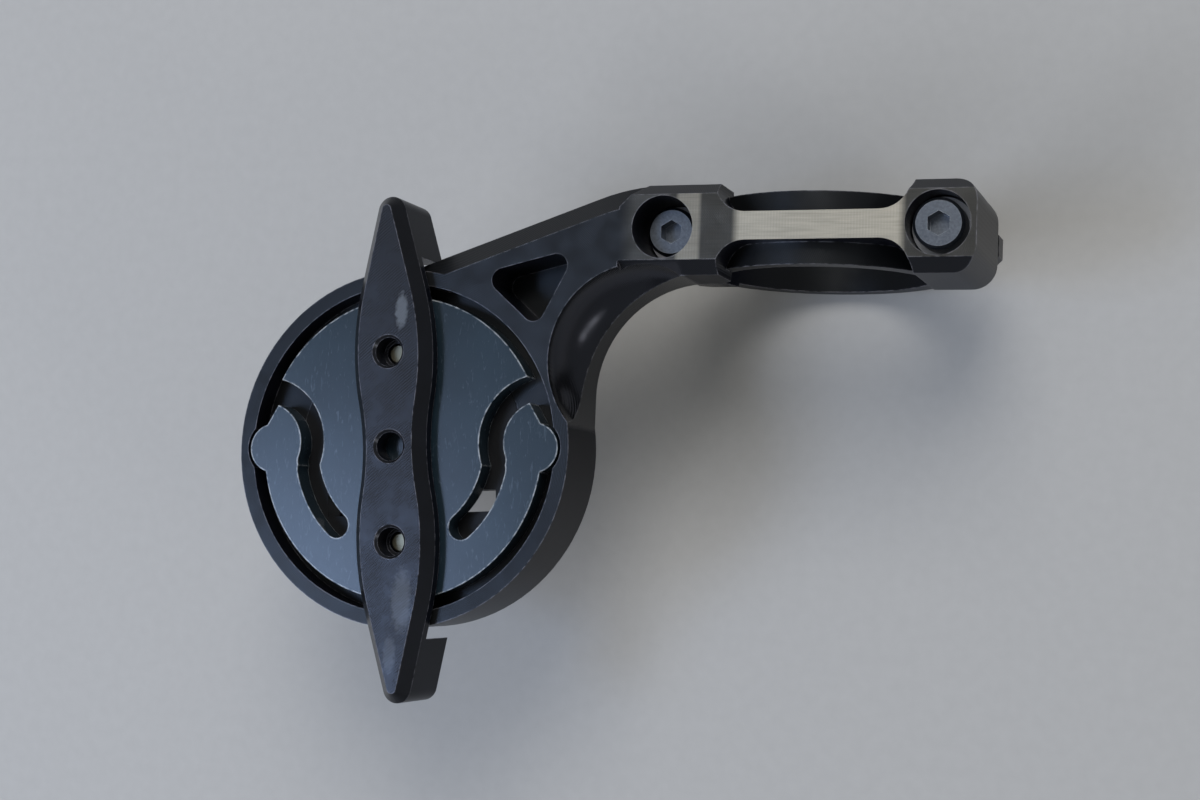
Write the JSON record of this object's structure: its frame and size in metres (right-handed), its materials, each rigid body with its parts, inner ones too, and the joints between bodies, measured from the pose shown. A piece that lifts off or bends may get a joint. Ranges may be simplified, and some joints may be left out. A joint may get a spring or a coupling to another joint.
{
  "type": "bike computer mount",
  "caption": "Out-front handlebar mount for a bicycle computer: split clamp, arm, round cup and a twist lever that turns the computer's quarter-turn seat",
  "frame": {"origin": "centre of the handlebar bore, at half the clamp's width", "axes": "+Y along the handlebar bore; +Z the normal of the face with the clamp screw heads, which points down in use; the cup lies towards -X and -Y"},
  "size_m": [0.1098, 0.0757, 0.0429],
  "materials": {
    "anodised_body": "satin black anodised",
    "anodised_cap": "satin black anodised",
    "anodised_lever": "bead-blasted and anodised",
    "screw_steel": "blackened steel",
    "washer_steel": "plain steel",
    "plate_plastic": "moulded, milled edges",
    "seat_plastic": "fine moulded texture",
    "lever_screw_steel": "plain steel"
  },
  "bodies": {
    "mount": {"mount_body": "anodised_body", "clamp_cap": "anodised_cap", "clamp_screw_front": "screw_steel", "clamp_screw_rear": "screw_steel", "clamp_washer_front": "washer_steel", "clamp_washer_rear": "washer_steel"},
    "rotor": {"detent_plate": "plate_plastic", "twist_lever": "anodised_lever", "computer_seat": "seat_plastic", "lever_screw_upper": "lever_screw_steel", "lever_screw_lower": "lever_screw_steel"}
  },
  "joints": [
    {"name": "lever_twist", "type": "hinge", "parent": "mount", "child": "rotor", "pos_m": [-0.0584, -0.0322, 0.0169], "axis": [0, 0, 1], "range_deg": [0, 90], "deforming": ["detent_plate"]}
  ]
}
